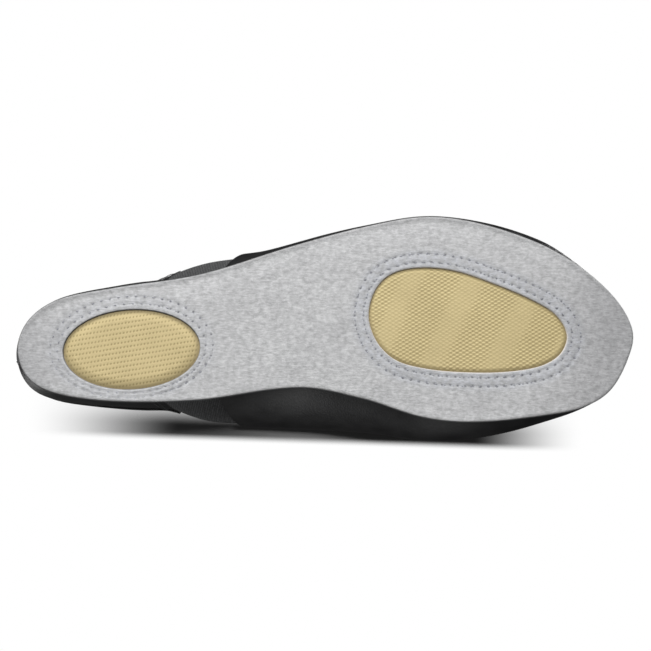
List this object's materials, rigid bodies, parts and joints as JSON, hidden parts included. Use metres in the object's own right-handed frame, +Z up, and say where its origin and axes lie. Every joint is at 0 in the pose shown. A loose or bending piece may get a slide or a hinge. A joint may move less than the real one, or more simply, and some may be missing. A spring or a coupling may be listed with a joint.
{
  "type": "bowling shoe",
  "caption": "Low slip-on bowling shoe for the right foot, with a suede slide sole, textured rubber windows under heel and ball, a black leather upper and elastic side gores.",
  "frame": {"origin": "middle of the shoe in plan, at the sole face it stands on", "axes": "+X to the toe, +Y to the arch side, +Z up out of the collar"},
  "size_m": [0.2868, 0.1018, 0.0842],
  "materials": {
    "outsole_suede": "grey suede, brushed nap",
    "forefoot_grip": "moulded fine relief",
    "heel_grip": "moulded fine relief",
    "forefoot_stitch_inner": "bonded thread",
    "forefoot_stitch_outer": "bonded thread",
    "heel_stitch_inner": "bonded thread",
    "heel_stitch_outer": "bonded thread",
    "sole_foam": "soft foam sheet",
    "insole_board": "pressed fibre board",
    "sock_lining": "brushed textile",
    "heel_pad": "foamed latex",
    "vamp": "smooth black, soft sheen",
    "vamp_lining": "tricot",
    "toe_puff": "impregnated stiffener",
    "quarter_medial": "smooth black, soft sheen",
    "quarter_lateral": "smooth black, soft sheen",
    "quarter_lining": "tricot",
    "heel_counter": "impregnated stiffener",
    "gore_medial": "ribbed elastic web",
    "gore_lateral": "ribbed elastic web",
    "backstay": "grey strip, edges turned in",
    "collar_binding": "folded tape",
    "throat_binding": "folded tape"
  },
  "bodies": {
    "root": {"outsole_suede": "outsole_suede", "forefoot_grip": "forefoot_grip", "heel_grip": "heel_grip", "forefoot_stitch_inner": "forefoot_stitch_inner", "forefoot_stitch_outer": "forefoot_stitch_outer", "heel_stitch_inner": "heel_stitch_inner", "heel_stitch_outer": "heel_stitch_outer", "sole_foam": "sole_foam", "insole_board": "insole_board", "sock_lining": "sock_lining", "heel_pad": "heel_pad", "vamp": "vamp", "vamp_lining": "vamp_lining", "toe_puff": "toe_puff", "quarter_medial": "quarter_medial", "quarter_lateral": "quarter_lateral", "quarter_lining": "quarter_lining", "heel_counter": "heel_counter", "gore_medial": "gore_medial", "gore_lateral": "gore_lateral", "backstay": "backstay", "collar_binding": "collar_binding", "throat_binding": "throat_binding"}
  },
  "joints": []
}
